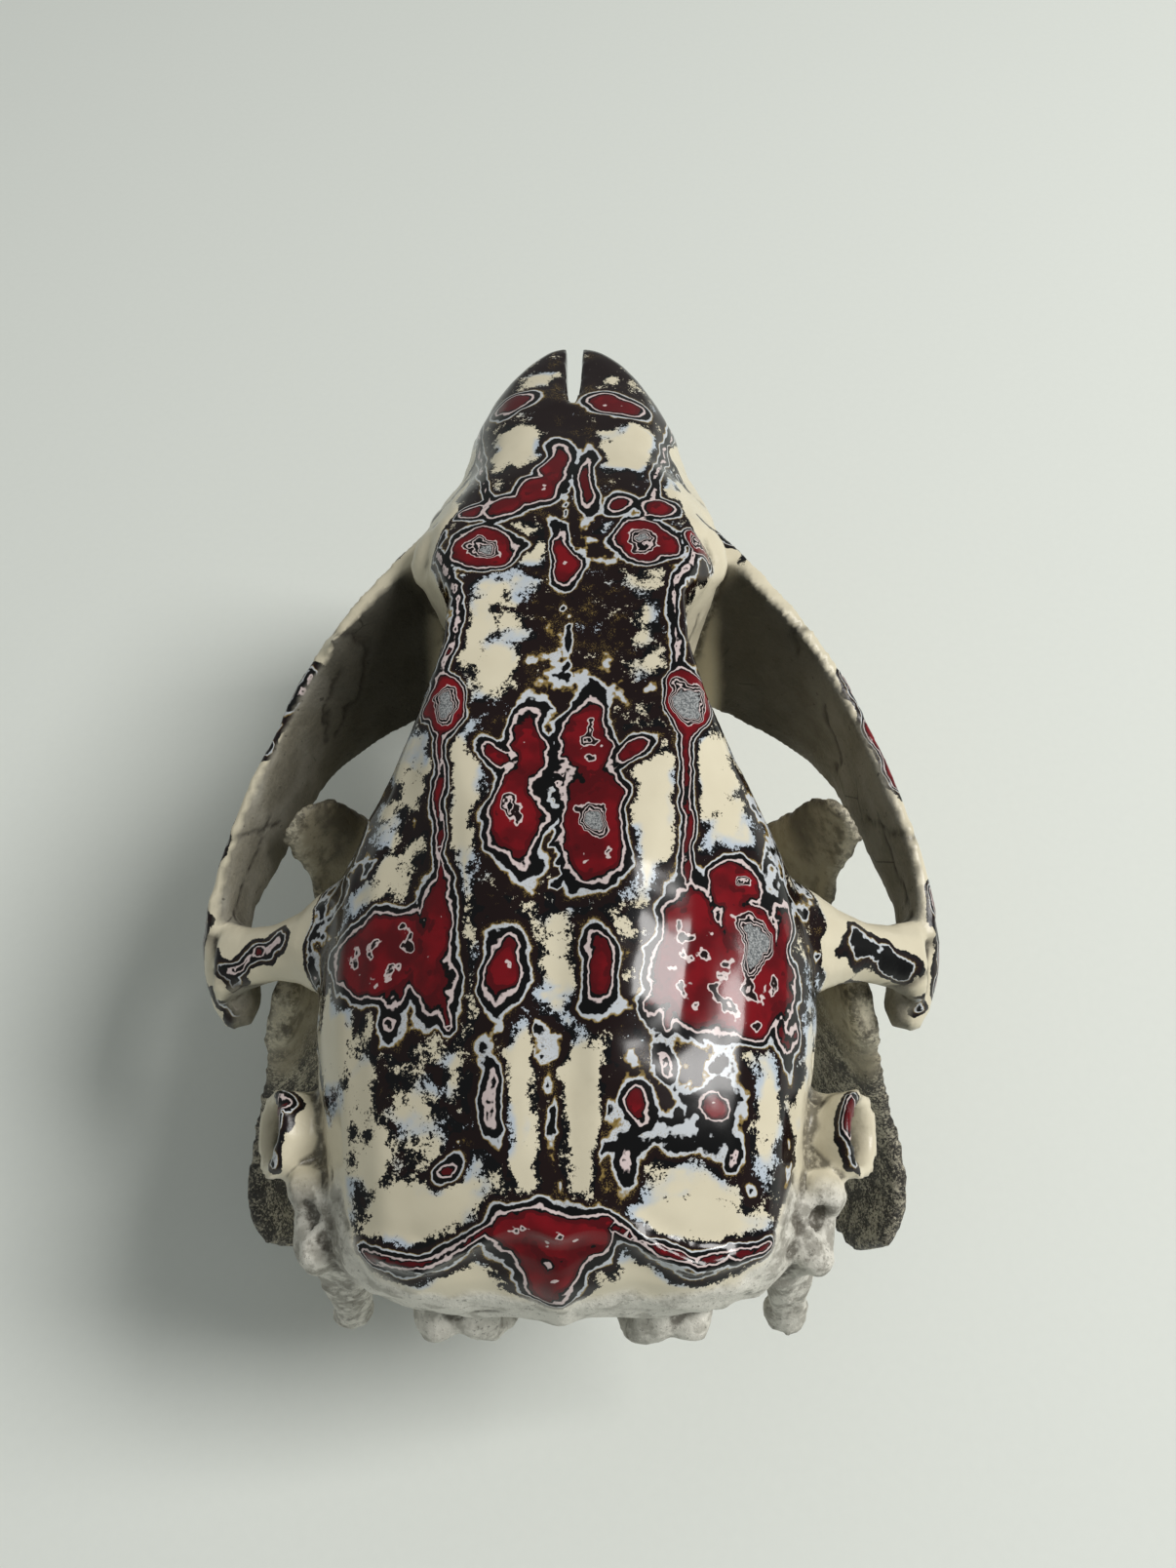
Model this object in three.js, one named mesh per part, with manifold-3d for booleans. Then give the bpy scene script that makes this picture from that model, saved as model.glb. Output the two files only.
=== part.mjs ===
// A beaver's skull with its lower jaw closed under it, standing on a table. Millimetres, +Z up.
// It is drawn in the skull's own frame: x to its right, y towards the nose from the back of the
// occipital condyles, z up from the rims of the upper cheek-tooth sockets. At the end the whole
// skull is tipped nose-up until the jaw's chin and heels stand on the table.
import * as THREE from "three";
import { mergeVertices } from "three/addons/utils/BufferGeometryUtils.js";
import Module from "manifold-3d";

const wasm = await Module();
wasm.setup();

// Driving dimensions.
const NOSE_Y = 130.4; // tips of the nasal bones
const ARCH_HALF = 45.3; // half the width over the cheek arches
const CREST_Y = 7.8; // lambdoid crest, at the midline
const PITCH = THREE.MathUtils.degToRad(4.6); // nose-up tip that rests chin and heels together
const SEAT_Y = -62.86; // moves the tipped skull's middle to the origin
const SEAT_Z = 31.6; // and its resting faces to the table
const SOCKET_GAP = 0.5; // clearance of a tooth in its socket
const SYMPHYSIS_GAP = 0.2; // half the seam between the jaw's two halves
const UPPER_BITE_Z = -3.0; // chewing faces
const LOWER_BITE_Z = -3.4;

const BONE = new THREE.MeshStandardMaterial({ color: 0xd8cfb4, roughness: 0.35, metalness: 0 });
const JAW = new THREE.MeshStandardMaterial({ color: 0x6f695c, roughness: 0.8, metalness: 0 });
const ENAMEL = new THREE.MeshStandardMaterial({ color: 0xc4762c, roughness: 0.3, metalness: 0 });
const MOLAR = new THREE.MeshStandardMaterial({ color: 0xcfc4a6, roughness: 0.5, metalness: 0 });

const at = (x, y, z) => new THREE.Vector3(x, y, z);
const lerp = THREE.MathUtils.lerp;

// A ring of points round an oval with the given half-axes. Power 2 is an ellipse, and more is boxier.
function oval(centre, across, up, count, power = 2) {
  return Array.from({ length: count }, (_, i) => {
    const turn = (2 * Math.PI * i) / count;
    const round = (v) => Math.sign(v) * Math.abs(v) ** (2 / power);
    return centre
      .clone()
      .addScaledVector(across, round(Math.cos(turn)))
      .addScaledVector(up, round(Math.sin(turn)));
  });
}

// A ring round a thin plate's cut face: it runs up one side of the spine and down the other.
// Half thicknesses go with the spine's points, and both ends are rounded.
function blade(spine, outward, halves, count) {
  const line = new THREE.CatmullRomCurve3(spine);
  const side = count / 2;
  const thick = (s) => {
    const k = Math.min(Math.floor(s * (halves.length - 1)), halves.length - 2);
    return lerp(halves[k], halves[k + 1], s * (halves.length - 1) - k);
  };
  return Array.from({ length: count }, (_, i) => {
    const up = i < side;
    const turn = (Math.PI * ((up ? i : count - 1 - i) + 0.5)) / side;
    const s = (1 - Math.cos(turn)) / 2;
    const swell = Math.sin(turn) ** 0.6 * thick(s);
    return line.getPoint(s).addScaledVector(outward, up ? swell : -swell);
  });
}

// A closed skin over rings with the same number of points, with smooth lines along it.
function loft(rings, steps = rings.length) {
  const count = rings[0].length;
  const lines = rings[0].map((_, i) => new THREE.CatmullRomCurve3(rings.map((r) => r[i])));
  const points = [];
  for (let s = 0; s < steps; s++) lines.forEach((line) => points.push(line.getPoint(s / (steps - 1))));
  const faces = [];
  for (let s = 0; s + 1 < steps; s++) {
    for (let i = 0; i < count; i++) {
      const a = s * count + i;
      const b = s * count + ((i + 1) % count);
      faces.push(a, b, b + count, a, b + count, a + count);
    }
  }
  const cap = (start, flip) => {
    const middle = points.slice(start, start + count).reduce((sum, p) => sum.add(p), at(0, 0, 0));
    points.push(middle.divideScalar(count));
    for (let i = 0; i < count; i++) {
      const pair = [start + i, start + ((i + 1) % count)];
      if (flip) pair.reverse();
      faces.push(points.length - 1, ...pair);
    }
  };
  cap(0, true);
  cap((steps - 1) * count, false);
  const skin = new THREE.BufferGeometry().setFromPoints(points);
  skin.setIndex(faces);
  return solid(skin);
}

// A closed geometry as a solid that can be joined and cut, facing outwards.
function solid(geometry) {
  const bare = geometry.clone();
  bare.deleteAttribute("normal");
  bare.deleteAttribute("uv");
  const merged = mergeVertices(bare, 1e-4);
  const vertProperties = new Float32Array(merged.attributes.position.array);
  const make = (triVerts) => new wasm.Manifold(new wasm.Mesh({ numProp: 3, vertProperties, triVerts }));
  const made = make(new Uint32Array(merged.index.array));
  return made.volume() > 0 ? made : make(new Uint32Array(merged.index.array).reverse());
}

function ellipsoid(centre, radii, turns = [0, 0, 0], detail = [14, 10]) {
  const ball = new THREE.SphereGeometry(1, ...detail);
  const turned = new THREE.Quaternion().setFromEuler(new THREE.Euler(...turns));
  ball.applyMatrix4(new THREE.Matrix4().compose(centre, turned, radii));
  return solid(ball);
}

function block(low, high) {
  const size = high.clone().sub(low);
  const middle = low.clone().add(high).multiplyScalar(0.5);
  return solid(new THREE.BoxGeometry(size.x, size.y, size.z).translate(middle.x, middle.y, middle.z));
}

const mirrored = (shape) => shape.mirror([1, 0, 0]);
const join = (shapes) => shapes.reduce((all, one) => all.add(one));
const cut = (from, shapes) => shapes.reduce((left, one) => left.subtract(one), from);
const bothSides = (shapes) => shapes.flatMap((shape) => [shape, mirrored(shape)]);

// The vault and face. Each station is y, then half of its outline as x, z from the top of the
// midline, over the ridge, shoulder, side and lower side, to the bottom of the midline.
const VAULT = [
  [NOSE_Y, [0, 31.1], [2.2, 31.0], [3.3, 30.4], [3.6, 29.6], [2.4, 28.8], [0, 28.6]],
  [128.4, [0, 31.9], [4.2, 31.7], [6.1, 30.2], [6.6, 26.0], [5.2, 14.0], [0, 10.0]],
  [125.4, [0, 32.7], [6.0, 32.3], [8.7, 29.6], [10.0, 17.0], [8.6, 4.0], [0, 1.6]],
  [121.2, [0, 33.7], [7.5, 33.1], [11.4, 29.2], [13.0, 17.0], [9.8, 3.0], [0, 0.8]],
  [116.0, [0, 35.0], [8.4, 34.3], [14.0, 28.6], [15.4, 18.0], [10.4, 3.6], [0, 1.8]],
  [108.0, [0, 37.0], [9.0, 36.3], [14.4, 30.2], [17.6, 20.5], [10.0, 6.0], [0, 3.6]],
  [101.0, [0, 39.0], [9.8, 38.2], [14.8, 34.0], [19.8, 26.0], [10.2, 8.0], [0, 5.6]],
  [93.0, [0, 40.8], [12.2, 40.2], [17.4, 37.2], [19.2, 28.0], [11.4, 8.0], [0, 6.0]],
  [85.0, [0, 42.0], [13.8, 41.6], [17.0, 38.8], [18.4, 31.0], [12.6, 7.6], [0, 4.6]],
  [77.0, [0, 42.6], [12.4, 42.7], [13.4, 41.0], [13.2, 32.0], [13.4, 7.0], [0, 4.0]],
  [68.0, [0, 43.0], [12.4, 43.3], [15.2, 41.2], [12.4, 28.0], [13.8, 7.4], [0, 4.2]],
  [60.0, [0, 43.8], [11.4, 44.1], [18.6, 38.6], [17.2, 26.0], [13.6, 9.0], [0, 5.4]],
  [52.0, [0, 44.3], [9.9, 44.6], [21.6, 37.0], [23.4, 25.0], [14.6, 11.0], [0, 8.0]],
  [43.0, [0, 44.3], [8.6, 44.6], [22.8, 37.0], [27.4, 26.5], [18.6, 12.0], [0, 9.2]],
  [33.0, [0, 43.7], [7.5, 44.1], [22.4, 37.0], [28.2, 26.0], [21.0, 12.0], [0, 8.6]],
  [23.0, [0, 42.7], [6.0, 43.0], [21.4, 36.2], [27.0, 25.0], [21.6, 12.6], [0, 7.6]],
  [14.0, [0, 40.7], [5.0, 41.0], [20.4, 35.0], [25.4, 24.0], [21.0, 13.0], [0, 7.0]],
  [8.0, [0, 38.4], [5.2, 38.5], [19.4, 33.4], [24.4, 23.0], [19.6, 12.0], [0, 7.6]],
  [4.4, [0, 35.2], [5.6, 35.4], [17.8, 32.4], [22.6, 22.4], [18.2, 11.8], [0, 8.6]],
  [1.8, [0, 31.0], [5.0, 31.2], [13.8, 29.0], [18.4, 20.6], [14.6, 11.8], [0, 9.4]],
  [0.6, [0, 24.6], [4.4, 24.8], [9.4, 23.4], [12.8, 18.0], [9.8, 12.0], [0, 9.8]],
];
const VAULT_RING = 28;
const VAULT_STEPS = 26;
const UNDERCUT = 0.26; // slope of the skull's back, forwards and down from the foramen's upper rim
const UNDERCUT_Z = 24;
const UNDERCUT_FROM = 20; // the slope fades out by this y

function vault() {
  const rings = VAULT.map(([y, ...half]) => {
    const slope = UNDERCUT * Math.max(0, 1 - y / UNDERCUT_FROM);
    const point = (x, z) => at(x, y + slope * Math.max(0, UNDERCUT_Z - z), z);
    const right = half.map(([x, z]) => point(x, z));
    const left = half.slice(1, -1).reverse().map(([x, z]) => point(-x, z));
    const outline = new THREE.CatmullRomCurve3([...right, ...left], true, "catmullrom", 0.45);
    return Array.from({ length: VAULT_RING }, (_, i) => outline.getPoint(i / VAULT_RING));
  });
  return loft(rings, VAULT_STEPS);
}

// A rounded cord of bone along a line, drawn out to a point at its ends.
function ridge(line, radius, steps, count = 6) {
  const path = new THREE.CatmullRomCurve3(line.map((p) => at(...p)));
  const rings = Array.from({ length: steps }, (_, i) => {
    const s = i / (steps - 1);
    const along = path.getTangent(s);
    const side = at(0, 0, 1).cross(along).normalize();
    const up = along.clone().cross(side);
    const grown = radius * Math.max(0.25, Math.sin(Math.PI * s) ** 0.4);
    return oval(path.getPoint(s), side.multiplyScalar(grown), up.multiplyScalar(grown), count);
  });
  return loft(rings);
}

// The scalloped crest over the back of the skull, and the two lines that run forwards from it.
const CREST_HALF = [[4.6, 9.0, 38.2], [8.8, 6.4, 36.8], [13.2, 4.9, 35.2], [17.4, 6.0, 33.4], [20.8, 7.4, 31.0],
  [23.4, 8.8, 27.6]];
const CREST = [
  ...CREST_HALF.map(([x, y, z]) => [-x, y, z]).reverse(),
  [0, CREST_Y, 38.4],
  ...CREST_HALF,
];

// The cheek arch, one plate from the wall in front of the orbit to the free tip behind the ear
// side: top edge, bottom edge, half thickness.
const ARCH = [
  [[13.6, 98.4, 32.0], [12.4, 87.6, 8.0], 4.2],
  [[19.6, 93.6, 33.2], [20.0, 84.8, 5.6], 3.2],
  [[25.2, 87.0, 32.4], [25.4, 82.6, 4.1], 2.3],
  [[29.8, 81.8, 30.8], [30.0, 80.0, 3.6], 2.0],
  [[33.4, 77.0, 28.8], [33.8, 76.8, 3.5], 1.9],
  [[36.2, 71.8, 26.8], [36.8, 73.0, 4.4], 1.7],
  [[38.4, 66.6, 25.8], [38.8, 66.8, 6.2], 1.7],
  [[40.4, 60.8, 25.0], [40.6, 60.0, 8.4], 1.7],
  [[42.2, 54.8, 24.0], [42.2, 53.4, 10.2], 1.7],
  [[43.3, 50.0, 22.8], [43.2, 49.0, 11.2], 1.8],
  [[43.6, 45.2, 21.8], [43.0, 44.8, 11.2], 2.1],
  [[42.6, 41.0, 20.6], [42.2, 40.8, 11.4], 2.9],
  [[41.4, 36.8, 18.4], [41.2, 36.8, 12.0], 2.9],
  [[40.6, 33.8, 16.4], [40.6, 33.8, 13.4], 1.6],
];

function cheekArch() {
  const tops = ARCH.map(([top]) => at(...top));
  const widest = Math.max(...tops.map((p, i) => p.x + ARCH[i][2]));
  const widen = ARCH_HALF / widest;
  const along = new THREE.CatmullRomCurve3(tops);
  const rings = ARCH.map(([top, bottom, half], i) => {
    const run = along.getTangent(i / (ARCH.length - 1));
    const outward = at(-run.y, run.x, 0).normalize().multiplyScalar(-1);
    const middle = at(...top).lerp(at(...bottom), 0.5).addScaledVector(outward, -0.5);
    const spine = [at(...bottom), middle, at(...top)];
    spine.forEach((p) => (p.x *= widen));
    return blade(spine, outward, [half, half * 0.9, half], 10);
  });
  return loft(rings, 16);
}

// The bar from the side of the braincase to the arch, over the jaw joint, flared at both ends.
function rearRoot() {
  const bar = [
    [[21.0, 40.6, 27.8], 9.6, 6.2],
    [[25.6, 40.6, 27.4], 8.0, 5.2],
    [[29.4, 40.4, 26.0], 5.4, 4.5],
    [[33.2, 40.3, 24.0], 3.7, 4.0],
    [[37.6, 40.4, 21.4], 3.5, 3.8],
    [[42.4, 40.8, 18.2], 5.6, 4.2],
  ];
  return loft(bar.map(([c, y, z]) => oval(at(...c), at(0, y, 0), at(0, 0, z), 10)), 7);
}

// The bony ear tube points outwards and up, and its bore is open.
const EAR_AXIS = at(0.84, -0.08, 0.54).normalize();
const EAR_MOUTH = at(32.0, 18.8, 26.4);

function earStations(stations) {
  const along = at(0, 1, 0).projectOnPlane(EAR_AXIS).normalize();
  const up = at(0, 0, 1).projectOnPlane(EAR_AXIS).normalize();
  return stations.map(([out, y, z]) =>
    oval(
      EAR_MOUTH.clone().addScaledVector(EAR_AXIS, out),
      along.clone().multiplyScalar(y),
      up.clone().multiplyScalar(z),
      10,
    ),
  );
}
const earTube = () => loft(earStations([[-13, 6.6, 6.6], [-8, 5.2, 5.0], [-4, 4.4, 4.1], [0, 4.8, 4.3]]), 4);
const earBore = () => loft(earStations([[-12, 1.6, 1.6], [-5, 2.6, 2.3], [1, 3.5, 3.0]]), 3);

// The finger of bone that hangs beside each occipital condyle.
function jugularProcess() {
  const finger = [
    [[22.5, 9.0, 21.0], 4.8],
    [[24.6, 6.0, 14.0], 3.0],
    [[25.2, 3.6, 8.6], 2.1],
    [[25.4, 2.4, 5.2], 2.3],
    [[25.4, 2.0, 3.4], 1.2],
  ];
  return loft(finger.map(([c, r]) => oval(at(...c), at(r, 0, 0), at(0, r, 0), 8)), 5);
}

// A tongue of the cheek bone that laps down the inner face of the left arch only.
const jugalTongue = () => ellipsoid(at(-30.2, 79.7, 23.0), at(1.5, 3.3, 8.4), [0, 0, -0.64], [8, 8]);

// The thin plates behind the palate that hang beside the inner nostrils.
function pterygoidPlate(x, rear, tip) {
  const stations = [
    [58, 4.0],
    [52, tip + 1.4],
    [(52 + rear) / 2, tip],
    [rear, tip + 3],
  ];
  const rings = stations.map(([y, low]) =>
    blade([at(x, y, low), at(x, y, (low + 14) / 2), at(x - 0.6, y, 14)], at(1, 0, 0), [0.9, 1.2, 1.6], 8),
  );
  return loft(rings, 4);
}

// The slot that parts the nasal tips, narrower at its rounded back end.
const NOSE_SLOT = [[0, 115.6], [0.55, 116.4], [0.8, 120.0], [1.15, 134.0]];

function noseSlot() {
  const right = NOSE_SLOT.map(([x, y]) => [x, y]);
  const plan = [...right, ...right.slice(1).reverse().map(([x, y]) => [-x, y])];
  return loft([24, 44].map((z) => plan.map(([x, y]) => at(x, y, z))));
}

function cranium(sockets) {
  const bone = join([
    vault(),
    ridge(CREST, 1.5, 13, 5),
    jugalTongue(),
    ...bothSides([
      cheekArch(),
      rearRoot(),
      earTube(),
      jugularProcess(),
      pterygoidPlate(7.0, 40, -3.4),
      pterygoidPlate(11.6, 44, 0.6),
      ellipsoid(at(14.2, 22.0, 7.6), at(8.6, 11.0, 7.6), [0, 0, 0.35], [12, 8]), // ear capsule
      ellipsoid(at(8.8, 3.0, 15.4), at(3.5, 4.3, 6.0), [0, 0.5, 0], [10, 8]), // occipital condyle
      ellipsoid(at(13.4, 2.2, 16.6), at(3.0, 3.6, 3.4), [0, 0, 0], [8, 6]), // knob beside the condyle
      ellipsoid(at(24.6, 10.6, 20.0), at(4.8, 5.6, 8.4), [0, 0, 0], [10, 8]), // mastoid
      ellipsoid(at(17.4, 89.4, 35.2), at(2.9, 4.8, 2.6), [0, 0.4, 0.3], [8, 6]), // lacrimal corner
      ellipsoid(at(26.8, 13.0, 24.6), at(2.7, 2.9, 4.2), [0, 0.3, 0], [7, 5]), // lumps of the mastoid
      ellipsoid(at(26.0, 7.4, 23.6), at(2.5, 2.6, 3.6), [0.3, 0, 0], [7, 5]),
      ellipsoid(at(11.8, 95.6, 8.4), at(3.2, 6.4, 3.6), [0, 0, 0.2], [10, 6]), // muscle knob under the root
    ]),
  ]);
  const openings = [
    ellipsoid(at(0, 123.0, 19.6), at(7.9, 17.0, 8.2), [0.12, 0, 0], [14, 8]), // nose
    noseSlot(),
    ellipsoid(at(0, -1.0, 17.0), at(7.3, 26.0, 6.2), [-0.06, 0, 0], [12, 8]), // foramen magnum
    ellipsoid(at(0, 50.0, 5.4), at(4.6, 13.0, 5.6), [0.1, 0, 0], [10, 8]), // inner nostrils
    ...bothSides([
      earBore(),
      ellipsoid(at(1.9, 98.0, 3.4), at(1.2, 7.6, 4.0), [0, 0, 0], [8, 6]), // slits in the palate
      ellipsoid(at(19.2, 101.0, 17.0), at(1.7, 9.0, 3.6), [0, 0, -0.42], [8, 6]), // nerve canal
      ellipsoid(at(27.6, 10.2, 27.0), at(2.6, 1.1, 1.8), [0, -0.5, 0], [7, 5]), // hole in the mastoid
    ]),
    ...sockets,
  ];
  return cut(bone, openings);
}

// Front teeth follow an arc in the upright plane. Each station is an angle, then how far out from
// the arc's centre the tooth's back and front lie.
function frontTooth(x, centre, stations, half, grow, steps) {
  const rings = stations.map(([degrees, back, front]) => {
    const turn = THREE.MathUtils.degToRad(degrees);
    const ray = at(0, Math.cos(turn), Math.sin(turn));
    const middle = at(x, ...centre).addScaledVector(ray, (back + front) / 2);
    const depth = ray.clone().multiplyScalar((front - back) / 2 + grow);
    return oval(middle, at(half + grow, 0, 0), depth, 10, 2.6);
  });
  return loft(rings, steps);
}

const UPPER_ARC = [97, -1];
const UPPER_FRONT = [[28, 21.4, 28.6], [8, 21.2, 28.7], [-12, 21.2, 28.8], [-28, 21.6, 28.8], [-38, 24.4, 28.8],
  [-46, 28.1, 28.8]];
const UPPER_SOCKET = [[32, 21.4, 28.6], [8, 21.2, 28.7], [-20, 21.2, 28.8]];
const LOWER_ARC = [86, -2.5];
const LOWER_FRONT = [[-80, 23.8, 30.2], [-60, 23.8, 30.3], [-40, 23.9, 30.3], [-24, 24.2, 30.3], [-16, 26.8, 30.3],
  [-11, 29.6, 30.2]];
const LOWER_SOCKET = [[-84, 23.8, 30.2], [-60, 23.8, 30.3], [-44, 23.9, 30.3]];
const FRONT_TOOTH_X = 4.3;

const upperIncisor = () => frontTooth(FRONT_TOOTH_X, UPPER_ARC, UPPER_FRONT, 3.5, 0, 10);
const lowerIncisor = () => frontTooth(FRONT_TOOTH_X, LOWER_ARC, LOWER_FRONT, 3.2, 0, 10);
const upperFrontSocket = () => frontTooth(FRONT_TOOTH_X, UPPER_ARC, UPPER_SOCKET, 3.5, SOCKET_GAP, 6);
const lowerFrontSocket = () => frontTooth(FRONT_TOOTH_X, LOWER_ARC, LOWER_SOCKET, 3.2, SOCKET_GAP, 5);

// Cheek teeth: x and y of the crown, half width, half length. The rows spread towards the back.
const UPPER_ROW = [[8.0, 82.6, 4.4, 4.2], [8.8, 74.2, 4.1, 3.7], [9.8, 66.6, 4.0, 3.5], [10.8, 59.4, 3.7, 3.3]];
const LOWER_ROW = [[8.6, 84.4, 4.1, 4.5], [10.0, 75.6, 4.1, 3.9], [11.6, 67.6, 4.0, 3.7], [13.4, 60.0, 3.7, 3.5]];
const UPPER_ROOT_Z = 8.0;
const LOWER_ROOT_Z = -20.0;

// A rooted prism with a soft fold down its inner and outer side.
function cheekTooth([x, y, wide, long], from, to, grow) {
  const rings = [from, to].map((z, k) => {
    const size = k ? 1 : 0.9;
    const ring = oval(at(x, y, z), at(wide * size + grow, 0, 0), at(0, long * size + grow, 0), 12, 3.2);
    return grow ? ring : ring.map((p, i) => (i % 6 === 0 ? p.lerp(at(x, y, z), 0.14) : p));
  });
  return loft(rings, 2);
}

const cheekSocket = (row, from, to) => row.map((tooth) => cheekTooth(tooth, from, to, SOCKET_GAP));

// One half of the lower jaw. The body's stations are its middle and its half width and height.
const JAW_BODY = [
  [[4.0, 103.4, -24.6], 4.3, 4.7, 0.6],
  [[4.5, 99.0, -25.8], 5.1, 7.4, 0.35],
  [[5.4, 93.6, -26.6], 6.2, 10.2, 0.15],
  [[7.8, 86.4, -25.4], 7.9, 13.6, 0],
  [[10.8, 77.0, -24.0], 8.0, 14.6, 0],
  [[13.8, 68.0, -22.6], 8.0, 14.0, 0],
  [[17.6, 59.0, -21.0], 7.0, 13.0, 0],
  [[24.4, 50.0, -20.0], 5.0, 12.0, 0],
  [[30.8, 42.0, -20.0], 3.2, 9.0, 0],
  [[35.4, 34.0, -20.0], 1.4, 4.0, 0],
];

// The upright plate behind it, from the front of the coronoid to the heel: y, then x, z of its
// bottom, middle and top edge, then the half thickness at each.
const RAMUS = [
  [68.4, [18.6, -16], [21.0, -11], [23.4, -6.0], [1.4, 1.6, 1.0]],
  [65.6, [20.0, -20], [26.4, -4], [29.0, 6.0], [2.0, 2.2, 1.4]],
  [62.8, [21.0, -21], [29.2, 3], [31.8, 20.2], [2.2, 1.9, 1.4]],
  [60.6, [21.8, -22], [30.2, 5], [33.4, 23.4], [2.3, 1.8, 1.6]],
  [58.4, [22.4, -23], [30.8, 5], [35.4, 23.4], [2.3, 1.7, 1.7]],
  [56.4, [23.2, -24], [31.4, 4], [36.8, 20.6], [2.3, 1.7, 1.6]],
  [54.6, [24.0, -26], [31.4, -2], [35.0, 13.0], [2.2, 1.7, 1.4]],
  [51.8, [25.2, -28], [31.6, -6], [34.2, 8.6], [2.2, 1.8, 1.5]],
  [48.0, [27.0, -30], [32.0, -8], [34.2, 6.4], [2.2, 1.9, 1.7]],
  [44.4, [29.0, -31.4], [33.0, -9], [34.4, 10.8], [2.2, 2.0, 2.2]],
  [41.2, [30.6, -32.6], [34.0, -9], [34.9, 16.8], [2.2, 2.1, 2.8]],
  [37.4, [32.4, -33.8], [35.0, -10], [35.4, 18.2], [2.1, 2.1, 3.0]],
  [33.4, [33.8, -34.4], [36.6, -12], [36.6, 14.6], [2.1, 2.1, 2.6]],
  [29.0, [35.2, -34.6], [38.2, -15], [39.2, 4.6], [2.1, 2.0, 2.2]],
  [24.0, [36.6, -34.0], [40.2, -19], [42.8, -4.4], [2.2, 2.0, 1.9]],
  [19.0, [37.6, -32.0], [41.4, -20], [43.8, -7.8], [2.3, 2.0, 1.8]],
  [14.6, [38.4, -28.0], [41.4, -19], [43.4, -10.6], [2.1, 1.9, 1.6]],
  [11.6, [39.2, -22.0], [41.0, -17.4], [42.0, -13.6], [1.2, 1.3, 1.0]],
];

function jawHalf() {
  const body = loft(
    JAW_BODY.map(([c, wide, tall, lean]) => {
      const up = at(0, -lean, 1).normalize().multiplyScalar(tall);
      return oval(at(...c), at(wide, 0, 0), up, 12, 2.3);
    }),
    9,
  );
  const ramus = loft(
    RAMUS.map(([y, low, middle, high, halves]) => {
      const spine = [low, middle, high].map(([x, z]) => at(x, y, z));
      return blade(spine, at(1, 0, 0), halves, 8);
    }),
    RAMUS.length,
  );
  const shelf = ellipsoid(at(34.0, 26.0, -32.4), at(4.6, 10.0, 3.0), [0.04, -0.3, 0.3], [8, 6]); // turned-in heel
  const sockets = [lowerFrontSocket(), ...cheekSocket(LOWER_ROW, LOWER_ROOT_Z - 0.4, 0)];
  const otherSide = block(at(-60, -40, -80), at(SYMPHYSIS_GAP, 160, 60));
  return cut(join([body, ramus, shelf]), [...sockets, otherSide]);
}

// Tips the skull nose-up and takes off what would reach under the table.
const tip = new THREE.Matrix4().makeRotationX(PITCH).setPosition(0, SEAT_Y, SEAT_Z);

function seated(shape) {
  const table = block(at(-90, -110, -40), at(90, 110, 0));
  return shape.transform(tip.elements).subtract(table);
}

function mesh(name, shape, material) {
  const { numProp, vertProperties, triVerts } = seated(shape).getMesh();
  const geometry = new THREE.BufferGeometry();
  geometry.setAttribute("position", new THREE.BufferAttribute(vertProperties, numProp));
  geometry.setIndex(new THREE.BufferAttribute(triVerts, 1));
  geometry.computeVertexNormals();
  const made = new THREE.Mesh(geometry, material);
  made.name = name;
  return made;
}

const skull = new THREE.Group();
const pair = (name, shape, material) => {
  skull.add(mesh(`${name}_right`, shape, material), mesh(`${name}_left`, mirrored(shape), material));
};

const upperSockets = bothSides([upperFrontSocket(), ...cheekSocket(UPPER_ROW, UPPER_ROOT_Z + 0.4, -8)]);
skull.add(mesh("cranium", cranium(upperSockets), BONE));
pair("mandible", jawHalf(), JAW);
pair("upper_incisor", upperIncisor(), ENAMEL);
pair("lower_incisor", lowerIncisor(), ENAMEL);
const CHEEK_NAMES = ["premolar", "molar_1", "molar_2", "molar_3"];
CHEEK_NAMES.forEach((name, i) => {
  pair(`upper_${name}`, cheekTooth(UPPER_ROW[i], UPPER_ROOT_Z, UPPER_BITE_Z, 0), MOLAR);
  pair(`lower_${name}`, cheekTooth(LOWER_ROW[i], LOWER_ROOT_Z, LOWER_BITE_Z, 0), MOLAR);
});

export default skull;
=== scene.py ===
"""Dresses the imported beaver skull: polished layered lacquer on the vault, bone, raw jaw and teeth."""
import math
import random

import bpy
import numpy as np
from mathutils import Matrix, Vector


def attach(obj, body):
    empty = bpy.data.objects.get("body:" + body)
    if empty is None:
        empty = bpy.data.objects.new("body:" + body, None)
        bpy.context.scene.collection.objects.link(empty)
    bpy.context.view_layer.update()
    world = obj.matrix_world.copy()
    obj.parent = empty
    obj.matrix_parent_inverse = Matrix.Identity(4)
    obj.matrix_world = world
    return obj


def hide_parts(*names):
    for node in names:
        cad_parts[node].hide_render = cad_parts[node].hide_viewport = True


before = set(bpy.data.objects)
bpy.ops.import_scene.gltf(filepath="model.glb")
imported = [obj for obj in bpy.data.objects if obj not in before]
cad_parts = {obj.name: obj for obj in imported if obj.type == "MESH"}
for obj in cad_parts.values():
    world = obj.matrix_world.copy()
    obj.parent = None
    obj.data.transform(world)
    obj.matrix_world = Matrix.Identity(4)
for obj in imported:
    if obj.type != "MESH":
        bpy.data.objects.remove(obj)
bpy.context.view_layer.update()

# The skull's own frame, in millimetres: y from the back of the condyles, z from the upper teeth's
# rims. The row's frame is the same one tipped nose-up until the jaw stands on the table.
MM = 0.001
PITCH = math.radians(4.6)
SEAT = np.array([0, -62.86, 31.6])
TIP = np.array([
    [1, 0, 0],
    [0, math.cos(PITCH), -math.sin(PITCH)],
    [0, math.sin(PITCH), math.cos(PITCH)],
])
SUTURE_SEED = 7
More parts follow.
